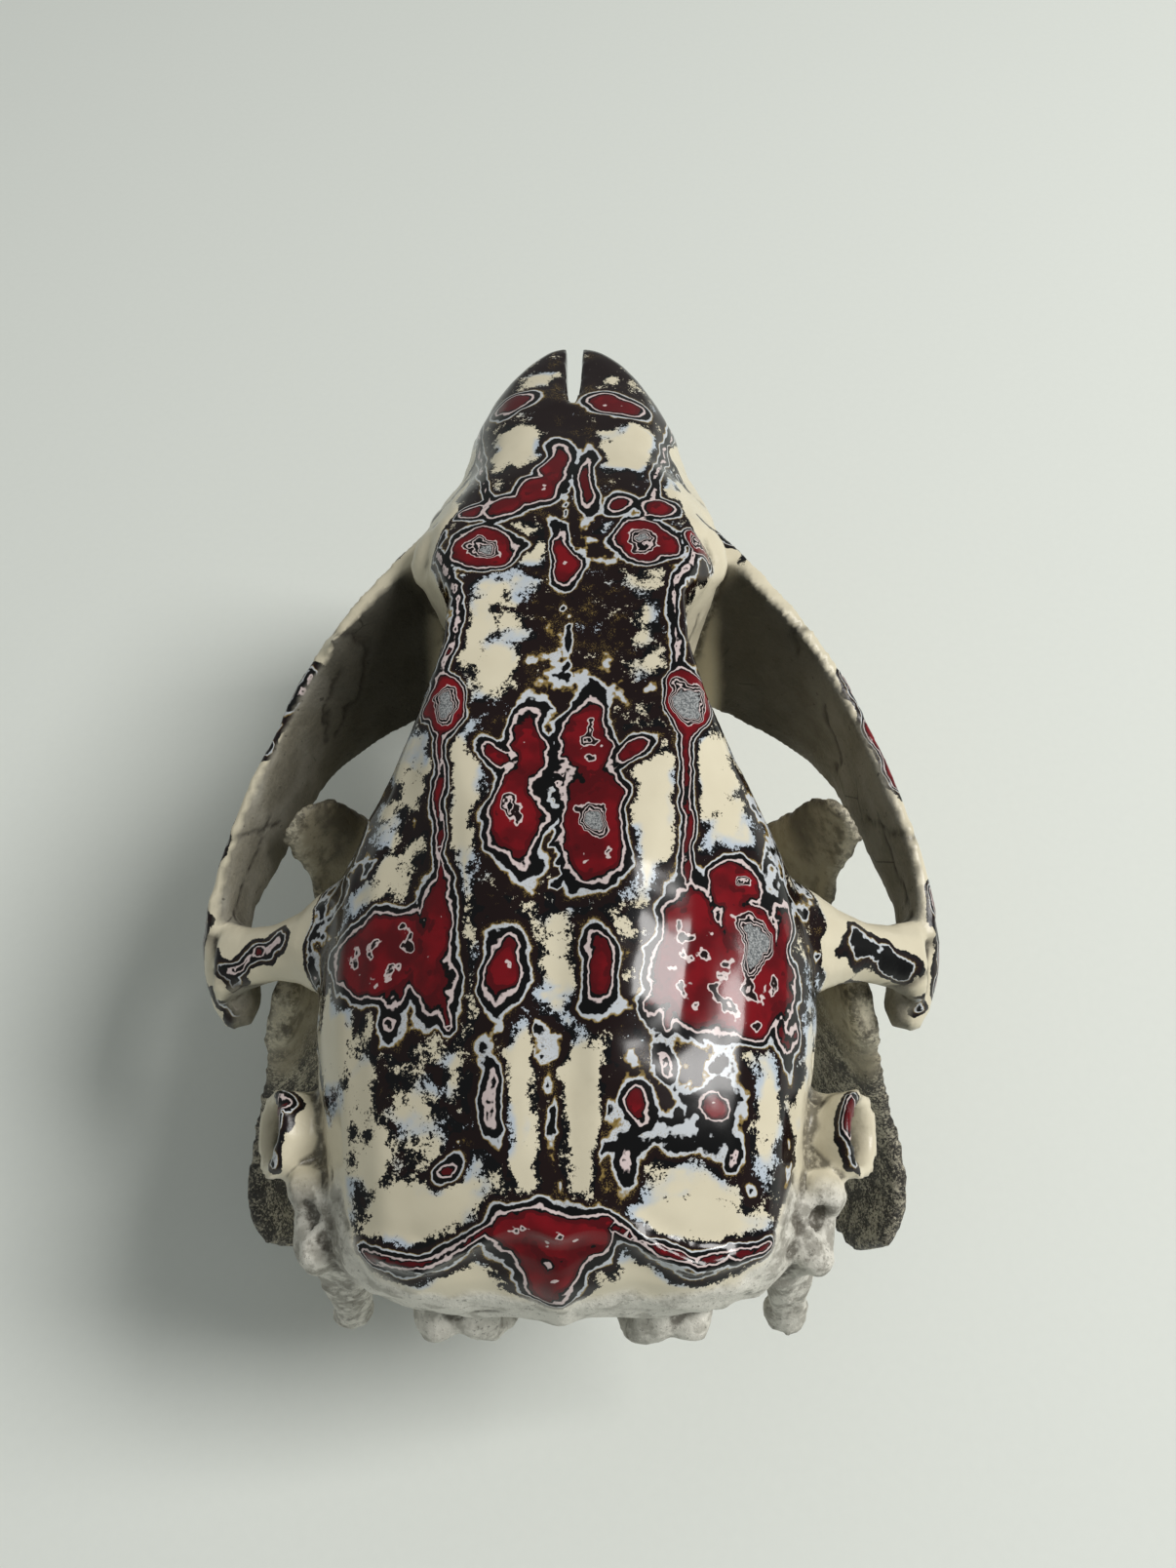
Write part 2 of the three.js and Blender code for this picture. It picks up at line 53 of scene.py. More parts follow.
SUTURE_STEP = 0.9  # millimetres from one turn of a suture to the next

# The skins' mesh widths, in millimetres.
FINE = 0.65
JAW_FINE = 0.66
TOOTH_FINE = 0.34


def to_skull(points):
    """Row points in metres, as points of the skull's frame in millimetres."""
    return (points / MM - SEAT) @ TIP


def to_row(points):
    """Points of the skull's frame in millimetres, as row points in metres."""
    return (np.asarray(points, float) @ TIP.T + SEAT) * MM


# Fields: smooth random values and shapes over points of the skull's frame.

def lattice(cells, seed):
    """A repeatable random value from 0 to 1 for each whole-number cell."""
    x, y, z = [cells[:, i].astype(np.int64) for i in range(3)]
    h = (x * 73856093) ^ (y * 19349663) ^ (z * 83492791) ^ (seed * 2654435761)
    h = (h ^ (h >> 13)) * 1274126177
    h = h ^ (h >> 16)
    return (h & 0xFFFFFF) / float(0xFFFFFF)


def noise(points, size, seed, octaves=1):
    """Smooth noise from -1 to 1 whose bumps are about size across."""
    total = np.zeros(len(points))
    weight = 1.0
    for octave in range(octaves):
        p = points * (2 ** octave / size) + 100.5
        low = np.floor(p)
        t = p - low
        t = t * t * (3 - 2 * t)
        value = np.zeros(len(points))
        for corner in range(8):
            step = np.array([corner & 1, corner >> 1 & 1, corner >> 2 & 1])
            share = np.prod(np.where(step, t, 1 - t), axis=1)
            value += share * lattice(low + step, seed + 31 * octave)
        total += weight * (2 * value - 1)
        weight *= 0.5
    return total


def smoothstep(low, high, value):
    """Eases from 0 to 1 as the value goes from low to high, either of which may be the larger."""
    t = np.clip((value - low) / (high - low), 0, 1)
    return t * t * (3 - 2 * t)


def segment_distance(points, start, end):
    """Distance to the straight piece between two places."""
    start, end = np.asarray(start, float), np.asarray(end, float)
    t = np.clip((points - start) @ (end - start) / ((end - start) @ (end - start)), 0, 1)
    return np.linalg.norm(points - (start + t[:, None] * (end - start)), axis=1)


def line_distance(points, line, axes=(0, 1)):
    """Distance to a polyline, seen along the axis that is left out."""
    flat = points[:, axes]
    return np.min([segment_distance(flat, a, b) for a, b in zip(line, line[1:])], axis=0)


def mirrored(line):
    """The same line on the skull's other side."""
    return [(-x, y) for x, y in line]


# Landmarks of the vault, seen from above, as x, y.
HALF_CREST = [(4.6, 9.0), (8.8, 6.4), (13.2, 4.9), (17.4, 6.0), (20.8, 7.4), (23.4, 8.8)]
CREST = [*mirrored(HALF_CREST)[::-1], (0, 7.8), *HALF_CREST]
TEMPLE_LINE = [
    (14.0, 66.0), (13.8, 60.0), (13.2, 52.0), (13.1, 44.0), (13.2, 36.0), (12.2, 30.0), (11.2, 26.0),
]
NASAL_EDGE = [(13.4, 119.0), (13.6, 114.0), (12.8, 107.0), (11.6, 101.0), (10.4, 95.0), (9.8, 91.0)]
ORBIT_EDGE = [(16.0, 86.0), (13.6, 81.0), (12.4, 76.0), (13.0, 70.0), (14.4, 65.0)]

# Places where the pale top coat stays: x, y, half width, half length, turn in degrees, and the
# level at the middle. The lower the level, the thicker the coat.
POOLS = [
    (-7.4, 106.4, 4.4, 5.2, -20, 0.04),
    (9.2, 104.6, 5.6, 6.4, -30, 0.02),
    (12.4, 98.4, 1.8, 5.4, 10, 0.08),
    (-5.0, 121.8, 2.0, 1.2, 25, 0.20),
    (4.6, 122.0, 1.1, 1.1, 0, 0.22),
    (-4.2, 88.2, 3.4, 0.9, -12, 0.10),
    (3.8, 88.3, 3.4, 0.9, 14, 0.10),
    (-9.6, 77.6, 2.6, 2.2, 20, 0.20),
    (-10.4, 72.4, 2.2, 4.6, -8, 0.20),
    (-8.4, 67.0, 2.0, 5.2, -10, 0.12),
    (-6.4, 72.8, 1.8, 2.4, 40, 0.24),
    (-5.4, 79.6, 1.6, 1.6, 30, 0.25),
    (-3.6, 84.6, 1.4, 2.0, 10, 0.25),
    (9.4, 78.6, 0.9, 1.4, 6, 0.26),
    (10.0, 74.2, 1.0, 1.5, -4, 0.26),
    (9.0, 71.0, 0.9, 1.1, -4, 0.26),
    (10.4, 67.6, 1.2, 1.8, -4, 0.24),
    (-10.5, 48.8, 2.1, 10.0, 2, -0.10),
    (-9.9, 38.6, 1.6, 6.0, 4, 0.14),
    (9.7, 47.0, 1.9, 9.5, -2, -0.10),
    (8.9, 38.4, 1.2, 5.0, -4, 0.16),
    (-17.4, 56.2, 2.4, 5.0, 16, 0.24),
    (-19.8, 50.0, 1.8, 3.0, 30, 0.26),
    (15.8, 54.6, 2.9, 6.6, -14, 0.06),
    (17.8, 49.0, 1.8, 3.4, -24, 0.16),
    (19.0, 46.6, 1.8, 4.0, -24, 0.12),
    (-19.0, 42.4, 4.0, 2.0, 40, 0.22),
    (1.4, 33.6, 3.6, 0.9, 14, 0.16),
    (-2.4, 36.4, 1.5, 1.0, 30, 0.18),
    (3.8, 26.6, 1.0, 2.4, -30, 0.20),
    (-3.4, 17.4, 2.0, 8.8, 2, -0.10),
    (2.4, 17.4, 1.8, 8.4, -3, -0.10),
    (-9.2, 28.6, 1.4, 4.2, 10, 0.14),
    (5.8, 24.8, 2.8, 2.2, 30, 0.16),
    (-15.2, 9.4, 8.2, 3.0, 6, 0.0),
    (-9.0, 11.8, 3.0, 2.4, 20, 0.16),
    (-24.4, 27.4, 2.0, 8.0, 0, 0.10),
    (-22.6, 15.6, 2.2, 6.0, 0, 0.12),
    (25.4, 26.0, 2.2, 9.0, 0, 0.10),
    (13.0, 8.6, 8.0, 2.4, -8, 0.0),
    (12.2, 12.4, 4.4, 1.8, -10, 0.20),
    (-13.6, 17.4, 1.6, 2.6, 20, 0.24),
    (-18.2, 14.6, 2.0, 3.0, 0, 0.18),
    (-19.6, 21.4, 1.3, 3.4, 10, 0.22),
    (-10.2, 24.6, 1.2, 2.0, 30, 0.26),
    (20.6, 20.6, 1.6, 8.0, 4, 0.10),
]

# High places polished through to the deeper coats: x, y, half width, half length, turn in
# degrees, and the level at the middle. Above SILVER_LEVEL the lowest coat shows.
HILLS = [
    (-7.8, 116.2, 4.6, 2.4, 28, 0.60),
    (6.3, 115.2, 4.9, 2.9, -18, 0.70),
    (-1.6, 100.6, 2.6, 6.6, 0, 0.68),
    (-4.0, 95.6, 3.4, 4.4, -46, 0.66),
    (-7.6, 92.8, 3.6, 2.8, 10, 0.66),
    (2.4, 97.0, 1.7, 8.4, 2, 0.62),
    (6.4, 92.8, 2.2, 2.8, -12, 0.62),
    (-0.6, 84.0, 1.8, 7.0, 3, 0.66),
    (-9.9, 85.6, 4.6, 4.4, 10, 0.92),
    (9.8, 86.4, 4.6, 4.4, -10, 0.92),
    (-17.4, 88.6, 3.0, 2.6, 40, 0.68),
    (17.0, 87.4, 3.2, 2.8, -40, 0.90),
    (-12.0, 92.0, 3.0, 1.6, 16, 0.64),
    (10.8, 92.2, 3.2, 1.7, -20, 0.66),
    (2.1, 57.8, 3.0, 8.2, 0, 0.70),
    (2.3, 58.6, 1.1, 3.4, 0, 0.86),
    (-3.3, 56.4, 2.8, 7.6, 8, 0.67),
    (-4.6, 48.4, 3.5, 7.6, 4, 0.70),
    (-5.4, 48.4, 1.3, 3.6, 6, 0.86),
    (3.4, 47.0, 4.2, 8.8, -2, 0.70),
    (3.4, 47.2, 2.8, 4.2, -2, 1.02),
    (6.6, 55.4, 3.4, 1.9, 50, 0.64),
    (-7.0, 55.6, 3.2, 1.9, -50, 0.62),
    (-13.8, 62.4, 2.5, 5.2, 6, 1.04),
    (14.0, 62.8, 2.7, 5.4, -6, 1.08),
    (-12.9, 35.0, 3.2, 9.6, 4, 0.705),
    (-19.0, 34.2, 6.6, 5.8, -10, 0.70),
    (-16.4, 30.6, 2.6, 4.2, 0, 0.60),
    (13.4, 34.0, 4.6, 9.4, -4, 0.705),
    (18.2, 31.6, 8.0, 5.6, 20, 0.71),
    (19.8, 35.8, 3.2, 4.8, -10, 1.04),
    (18.4, 41.8, 3.4, 4.4, -20, 0.68),
    (19.7, 43.4, 1.4, 1.4, 0, 0.90),
    (23.6, 37.0, 1.6, 7.4, 2, 0.64),
    (23.8, 28.0, 1.4, 5.0, 2, 0.60),
    (-5.5, 31.2, 2.7, 5.0, -6, 0.68),
    (4.2, 31.2, 2.5, 5.2, 8, 0.66),
    (7.9, 19.8, 1.9, 2.4, 20, 0.66),
    (14.8, 19.8, 2.4, 2.0, 0, 0.66),
    (10.8, 23.6, 1.6, 2.0, 0, 0.60),
    (17.0, 14.6, 1.4, 2.0, 0, 0.58),
    (-6.9, 20.0, 1.3, 5.0, 4, 0.54),
    (6.6, 14.8, 1.3, 3.4, 0, 0.54),
    (-10.6, 12.8, 1.2, 1.2, 0, 0.58),
    (-17.0, 26.6, 1.8, 1.6, 20, 0.56),
    (9.6, 27.4, 1.6, 2.4, 12, 0.54),
    (-0.8, 6.8, 4.4, 3.0, 0, 0.71),
]
HILL_FOOT = 0.42  # the level at a high place's rim
HILL_SLOPE = 0.13  # levels a millimetre
CREAM_LEVEL = 0.300  # below it the pale top coat covers
PALE_SUTURE = 0.19
POOL_SLOPE = 0.11
CLEAN_SLOPE = 0.30  # steeper, so that the rim is cleaner
SILVER_LEVEL = 0.905
LARGE = 3.0  # half width from which a pale place is more ragged


def oval_radius(points, x, y, half_x, half_y, turn):
    """How far out each point is in an oval seen from above: 0 at its middle and 1 at its rim."""
    c, s = math.cos(math.radians(turn)), math.sin(math.radians(turn))
    dx, dy = points[:, 0] - x, points[:, 1] - y
    return np.hypot((c * dx + s * dy) / half_x, (-s * dx + c * dy) / half_y)


def higher(a, b, soft=0.05):
    """The larger of two fields, with a soft join where they cross."""
    near = np.maximum(soft - np.abs(a - b), 0)
    return np.maximum(a, b) + near * near / (4 * soft)


def lower(a, b, soft=0.05):
    """The smaller of two fields, with the same soft join."""
    return -higher(-a, -b, soft)


def warped(points, reach):
    """The points pushed about, so that nothing drawn over them is a plain oval or line."""
    out = points.copy()
    for axis, seed in ((0, 11), (1, 12)):
        out[:, axis] += reach * (noise(points, 6.0, seed) + 0.8 * noise(points, 2.9, seed + 10))
        out[:, axis] += 0.3 * reach * noise(points, 1.5, seed + 20)
    return out


def hill(radius, width, middle):
    """A level that climbs at an even slope from an oval's rim to a flat top."""
    climb = middle - HILL_FOOT
    slope = max(HILL_SLOPE, climb / (0.8 * width))
    return HILL_FOOT + np.minimum(slope * width * (1 - radius), climb)


def pool(radius, width, middle):
    """A level that sinks at an even slope from an oval's rim. The thickest coats have a clean rim."""
    slope = CLEAN_SLOPE if middle < 0 else POOL_SLOPE
    gap = slope * width * (radius - 1)
    return CREAM_LEVEL + np.maximum(gap, middle - CREAM_LEVEL)


def winding(points, size, seed):
    """0 along winding lines that are about that far apart, and up to 1 between them."""
    return np.abs(noise(points, size, seed) + 0.4 * noise(points, size * 0.45, seed + 3))


def suture_line(top, bottom, reach):
    """A jagged line down the middle, where the two halves of the vault grew together."""
    chance = random.Random(SUTURE_SEED)
    count = round((top - bottom) / SUTURE_STEP)
    sideways = [reach * (-1) ** i * chance.uniform(0.3, 1.0) for i in range(count + 1)]
    return [(x, top + (bottom - top) * i / count) for i, x in enumerate(sideways)]


def ground(points):
    """The polishing level away from the hills and pools, busier towards the back."""
    x, y = points[:, 0], points[:, 1]
    level = 0.352 + 0.045 * noise(points, 5.0, 21, 2) + 0.05 * noise(points, 2.2, 23, 2)
    # Unbroken dark coats on the nose and down the middle of the forehead.
    forehead = smoothstep(60, 64, y) * smoothstep(7.5, 4.0, np.abs(x - 1.5))
    nose = smoothstep(86, 92, y)
    level += nose * (0.356 + 0.010 * noise(points, 3.0, 25) - level)
    level += forehead * (0.390 + 0.012 * noise(points, 3.0, 29) - level)
    # Pale veins over the back and the left flank.
    rear = smoothstep(31, 26, y) * smoothstep(4, 8, y)
    flank = smoothstep(13, 17, np.abs(x)) * smoothstep(62, 52, y) * smoothstep(30, 36, y)
    left_rear = rear * smoothstep(-3, -8, x)
    level += rear * (0.03 + 0.03 * noise(points, 2.4, 24, 2))
    level -= left_rear * (0.075 + 0.07 * noise(points, 1.5, 22))
    busy = np.clip(rear + flank - 0.35 * left_rear, 0, 1)
    veins = 0.474 - 0.20 * winding(points, 3.8, 26) - 0.25 * (1 - busy)
    level = higher(level, veins, 0.03)
    # A pale cloud with gold rims in front of the red on the forehead.
    cloud = np.exp(-((y - 67.0) / 2.6) ** 2) * smoothstep(6.5, 3.5, np.abs(x - 0.5))
    return level + cloud * (0.05 + 0.03 * noise(points, 2.0, 27))


def crest_row(x):
    """The crest's y at each x."""
    across, rows = np.transpose(CREST)
    return np.interp(x, across, rows)


def strata(points):
    """How deep the polishing went on the vault: 0 is the pale top coat and 1 the lowest coat."""
    moved, loose = warped(points, 1.0), warped(points, 1.7)
    level = ground(points)
    for x, y, half_x, half_y, turn, middle in POOLS:
        r = oval_radius(loose if half_x > LARGE else moved, x, y, half_x, half_y, turn)
        level = lower(level, pool(r, min(half_x, half_y), middle), 0.03)
    gap = line_distance(warped(points, 0.5), suture_line(40, 26, 1.9))
    level = lower(level, PALE_SUTURE + 0.15 * gap, 0.03)
    below = smoothstep(1.2, 2.6, crest_row(points[:, 0]) - points[:, 1])
    level = level * (1 - below) + (0.10 + 0.06 * noise(points, 3.0, 28)) * below
    for x, y, half_x, half_y, turn, middle in HILLS:
        r = oval_radius(moved, x, y, half_x, half_y, turn)
        level = higher(level, hill(r, min(half_x, half_y), middle), 0.03)
    gentle = warped(points, 0.55)
    for line, top, fall in (
        (TEMPLE_LINE, 0.62, 0.21),
        (mirrored(TEMPLE_LINE), 0.62, 0.21),
        (NASAL_EDGE, 0.54, 0.16),
        (mirrored(NASAL_EDGE), 0.54, 0.16),
        (ORBIT_EDGE, 0.56, 0.16),
        (mirrored(ORBIT_EDGE), 0.56, 0.16),
        (CREST, 0.605, 0.19),
        ([(-5.2, 7.4), (3.6, 7.4)], 0.74, 0.13),
        ([(-4.4, 7.6), (-1.0, 2.6)], 0.70, 0.13),
        ([(2.8, 7.6), (-0.9, 2.6)], 0.70, 0.13),
        (suture_line(56, 40, 1.1), 0.53, 0.34),
        (suture_line(104, 66, 0.25), 0.50, 0.34),
        ([(-0.5, 25.0), (-0.7, 20.0), (-0.4, 10.0)], 0.424, 0.09),
        ([(6.2, 33.0), (5.6, 26.0), (9.0, 20.0), (7.0, 13.0)], 0.424, 0.05),
    ):
        level = higher(level, top - fall * line_distance(gentle, line), 0.02)
    return level


# Dark contours on the arches and sides: both ends as x, y, z, then radius and level inside.
SIDE_HILLS = [
    ((34.4, 38.6, 28.0), (39.6, 38.4, 23.0), 2.5, 0.475),
    ((32.6, 36.8, 24.0), (36.6, 35.6, 16.0), 1.4, 0.46),
    ((41.8, 35.4, 18.6), (42.2, 35.2, 17.4), 1.6, 0.47),
    ((37.0, 76.0, 27.0), (41.6, 63.0, 24.6), 2.8, 0.66),
    ((43.0, 58.0, 24.0), (45.2, 50.0, 20.0), 1.5, 0.50),
    ((45.8, 49.0, 21.0), (45.8, 38.0, 16.0), 3.0, 0.68),
    ((-34.6, 39.6, 28.0), (-40.0, 38.6, 22.0), 2.3, 0.58),
    ((-41.0, 36.4, 17.0), (-42.4, 36.0, 14.0), 2.6, 0.64),
    ((-34.6, 75.6, 28.8), (-39.4, 66.0, 26.4), 2.9, 0.62),
    ((-41.6, 60.0, 24.0), (-44.4, 50.0, 20.6), 1.3, 0.48),
    ((-45.6, 46.0, 19.0), (-45.4, 38.0, 15.0), 3.0, 0.64),
    ((31.6, 14.8, 28.6), (31.4, 22.6, 29.6), 2.3, 0.62),
    ((-31.6, 14.8, 28.6), (-31.4, 22.6, 29.6), 2.3, 0.58),
    ((17.6, 94.0, 38.0), (26.0, 91.6, 26.0), 1.7, 0.54),
    ((-17.6, 94.0, 38.0), (-26.0, 91.6, 26.0), 1.7, 0.54),
    ((15.4, 112.0, 33.0), (16.4, 100.0, 33.0), 1.2, 0.48),
    ((-15.6, 108.0, 32.0), (-16.8, 98.0, 33.0), 1.2, 0.48),
]
SIDE_SLOPE = 0.16


def side_strata(points):
    """The same on the sides, arches and back, where the pale coat shows with a few dark contours."""
    level = 0.13 + 0.10 * noise(points, 6.5, 41, 2) + 0.04 * noise(points, 1.6, 43)
    moved = warped(points, 1.5)
    uneven = 0.7 * noise(points, 2.6, 44, 2)
    for start, end, radius, middle in SIDE_HILLS:
        gap = segment_distance(moved, start, end) + uneven
        level = higher(level, np.minimum(middle, CREAM_LEVEL + SIDE_SLOPE * (radius - gap)), 0.02)
    return level


# Seams and cracks of the bone: 1 for the right, -1 for the left or 0 for both, then y, z along it.
SEAMS = [
    (1, [(74.2, 22.8), (73.4, 21.0), (72.6, 19.2), (71.0, 17.2), (69.8, 15.6), (70.4, 12.0)]),
    (1, [(82.6, 31.4), (80.6, 28.6), (79.8, 26.6)]),
    (0, [(61.0, 15.6), (58.6, 18.6), (57.2, 21.2), (54.8, 23.6)]),
    (-1, [(80.9, 31.4), (81.8, 27.0), (80.8, 22.8), (78.4, 17.6), (75.0, 14.4)]),
    (-1, [(77.6, 25.6), (75.6, 22.0), (74.2, 19.2), (73.6, 15.0)]),
    (0, [(103.0, 36.0), (100.6, 31.0), (101.4, 26.0), (99.0, 20.0), (102.0, 14.0)]),
    (0, [(22.0, 27.0), (30.0, 23.0), (42.0, 21.0), (52.0, 18.0), (60.0, 20.0)]),
]


def seams(points):
    """1 along the middle of each seam and 0 a little away from it."""
    wander = points.copy()
    wander[:, 1] += 0.8 * noise(points, 1.7, 45)
    wander[:, 2] += 0.8 * noise(points, 1.7, 46)
    mark = np.zeros(len(points))
    for side, line in SEAMS:
        gap = line_distance(wander, line, (1, 2))
        here = points[:, 0] * side > 0 if side else np.abs(points[:, 0]) > 8
        mark = np.maximum(mark, np.exp(-(gap / 0.34) ** 2) * here)
    return mark


# Where the dark lacquer ends on the flank: y, then how far out and how far down it goes there.
LACQUER_EDGE = [
    (0, 20.0, 31.0), (8, 21.4, 31.4), (14, 23.6, 31.0), (20, 25.6, 29.0),
    (27, 27.8, 27.0), (36, 29.6, 25.6), (44, 29.0, 23.6), (56, 25.0, 23.0),
    (64, 18.6, 25.0), (74, 14.8, 31.0), (80, 15.4, 36.0), (85, 17.6, 36.4),
    (92, 15.2, 35.0), (104, 13.6, 29.0), (118, 14.4, 27.0), (131, 10.0, 25.0),
]


def vault_share(points):
    """1 on the upper vault and 0 on the sides, with a ragged edge along the flank."""
    y, half, low = np.transpose(LACQUER_EDGE)
    ragged = 0.9 * noise(points, 4.0, 51, 2)
    out = np.interp(points[:, 1], y, half) - np.abs(points[:, 0]) + ragged
    above = points[:, 2] - np.interp(points[:, 1], y, low) + ragged
    return smoothstep(-0.6, 0.6, out) * smoothstep(-0.8, 0.8, above)


# Meshes.

def new_object(name, vertices, faces):
    """A mesh object, put into the scene."""
    mesh = bpy.data.meshes.new(name)
    mesh.from_pydata([tuple(v) for v in vertices], [], [tuple(f) for f in faces])
    made = bpy.data.objects.new(name, mesh)
    bpy.context.scene.collection.objects.link(made)
    return made


def applied(made):
    """The object with its modifiers made real."""
    bpy.context.view_layer.update()
    graph = bpy.context.evaluated_depsgraph_get()
    mesh = bpy.data.meshes.new_from_object(made.evaluated_get(graph))
    made.modifiers.clear()
    made.data = mesh
    return made


def remeshed(node, name, size):
    """A new object with a CAD node's shape as an even skin of small squares."""
    made = bpy.data.objects.new(name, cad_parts[node].data.copy())
    bpy.context.scene.collection.objects.link(made)
    made.data.materials.clear()
    grid = made.modifiers.new("grid", "REMESH")
    grid.mode = "VOXEL"
    grid.voxel_size = size * MM
    return applied(made)


def coordinates(mesh):
    flat = np.empty(len(mesh.vertices) * 3)
    mesh.vertices.foreach_get("co", flat)
    return flat.reshape(-1, 3)


def set_coordinates(mesh, points):
    mesh.vertices.foreach_set("co", points.ravel())
    mesh.update()


def normals_of(mesh):
    flat = np.empty(len(mesh.vertices) * 3)
    mesh.vertices.foreach_get("normal", flat)
    return flat.reshape(-1, 3)


def neighbour_mean(mesh):
    """A function that gives the mean of each vertex's neighbours, for one value a vertex."""
    edges = np.empty(len(mesh.edges) * 2, np.int64)
    mesh.edges.foreach_get("vertices", edges)
    a, b = edges[::2], edges[1::2]
    count = len(mesh.vertices)
    valence = np.bincount(edges, minlength=count).astype(float)

    def mean(values):
        return (np.bincount(a, values[b], count) + np.bincount(b, values[a], count)) / valence

    return mean


INWARD = 0.62
OUTWARD = -0.64


def relaxed(mesh, passes, freedom=1.0):
    """Smooths the mesh without shrinking it. Freedom, 0 to 1 a vertex, holds parts of it back."""
    mean = neighbour_mean(mesh)
    points = coordinates(mesh)
    for factor in (INWARD, OUTWARD) * passes:
        for axis in range(3):
            column = points[:, axis]
            points[:, axis] = column + factor * freedom * (mean(column) - column)
    set_coordinates(mesh, points)


def hollows(mesh, passes=7):
    """How far each vertex lies below its surroundings, in millimetres. It is under 0 on ridges."""
    mean = neighbour_mean(mesh)
    points = coordinates(mesh)
    around = points.copy()
    for _ in range(passes):
        for axis in range(3):
            around[:, axis] = mean(around[:, axis])
    return np.sum((around - points) * normals_of(mesh), axis=1) / MM


def push_out(mesh, amount):
    """Moves each vertex along its normal by an amount in millimetres."""
    set_coordinates(mesh, coordinates(mesh) + normals_of(mesh) * amount[:, None] * MM)


def store(mesh, name, values):
    """Keeps one value a vertex on the mesh, for its material to read."""
    layer = mesh.attributes.new(name=name, type="FLOAT", domain="POINT")
    layer.data.foreach_set("value", values.astype(np.float32))


def shaded_smooth(mesh):
    mesh.polygons.foreach_set("use_smooth", [True] * len(mesh.polygons))
    mesh.update()


# Relief, in millimetres.

SEAM_DEPTH = 0.22
LINE_HEIGHT = 0.18
HOLLOW_DEPTH = 0.18

# Holes on both sides by the ears and the crest's ends: x, y, z, radius and depth.
PITS = [
    (26.8, 10.2, 27.0, 1.6, 1.4), (28.4, 14.6, 24.0, 1.1, 1.2), (26.8, 6.6, 24.6, 1.1, 1.0),
    (24.2, 13.8, 29.8, 0.8, 0.9), (27.2, 26.6, 27.6, 0.8, 0.8), (27.6, 22.6, 28.0, 0.7, 0.9),
    (27.0, 30.4, 29.0, 0.6, 0.6), (19.0, 3.6, 25.6, 0.8, 0.7), (15.0, 1.6, 22.0, 0.7, 0.6),
]


def pits(points, deep=True):
    """How deep the holes are at each point, or 1 at their bottoms where deep is off. 0 outside them."""
    uneven = 0.3 * noise(points, 1.2, 60)
    found = np.zeros(len(points))
    for side in (-1, 1):
        for x, y, z, radius, depth in PITS:
            away = np.linalg.norm(points - np.array([side * x, y, z]), axis=1)
            inside = smoothstep(radius, radius * 0.4, away + uneven)
            found = np.maximum(found, inside * depth if deep else inside)
    return found


def rugged_share(points):
    """1 on the rough bone behind the ears, the condyles and the rods at the back, and 0 elsewhere."""
    x, y, z = np.abs(points[:, 0]), points[:, 1], points[:, 2]
    behind_ears = smoothstep(15.0, 11.5, y) * smoothstep(19.5, 22.5, x) * smoothstep(34, 31, z)
    under = smoothstep(20, 16, z) * smoothstep(16, 10, y)
    return np.maximum(behind_ears, under)


def back_share(points, vault):
    """1 on the back of the skull below the crest, and 0 elsewhere."""
    return smoothstep(10.4, 7.4, points[:, 1]) * (1 - vault)


def cranium_relief(points):
    """Soft swellings on the vault, seams, and rougher bone towards the back."""
    vault = vault_share(points)
    rugged = rugged_share(points) * (1 - vault)
    height = (0.30 * noise(points, 10.0, 61) + 0.10 * noise(points, 4.6, 64)) * vault
    height += (0.26 * noise(points, 6.0, 62) + 0.09 * noise(points, 2.2, 63, 2)) * (1 - vault)
    height += rugged * (0.50 * noise(points, 3.4, 65, 2) + 0.22 * noise(points, 1.6, 66))
    height += back_share(points, vault) * 0.20 * noise(points, 1.9, 67, 2)
    for line in (TEMPLE_LINE, mirrored(TEMPLE_LINE)):
        gap = line_distance(points, line)
        height += LINE_HEIGHT * np.exp(-(gap / 1.6) ** 2) * smoothstep(30, 36, points[:, 2])
    # Two long hollows beside the midline, in front of the crest.
    for centre in (-3.2, 2.1):
        gap = np.hypot((points[:, 0] - centre) / 1.6, (points[:, 1] - 17.4) / 8.0)
        height -= HOLLOW_DEPTH * smoothstep(1.2, 0.5, gap) * vault
    # The nape's middle ridge, with a hollow on both sides.
    nape = smoothstep(7.5, 4.5, points[:, 1]) * smoothstep(22, 27, points[:, 2])
    side = np.abs(points[:, 0])
    height += nape * (0.7 * np.exp(-(side / 1.6) ** 2) - 0.5 * np.exp(-((side - 7) / 4.0) ** 2))
    return height - pits(points) - SEAM_DEPTH * seams(points) * (1 - vault)


def arch_share(points):
    """1 on the cheek arches and 0 on the rest of the skull."""
    x = np.abs(points[:, 0])
    inner = np.interp(points[:, 1], [32, 44, 60, 78, 90], [36, 33, 28, 21, 17])
    along = smoothstep(30, 33, points[:, 1]) * smoothstep(92, 88, points[:, 1])
    return smoothstep(inner, inner + 2.5, x) * along


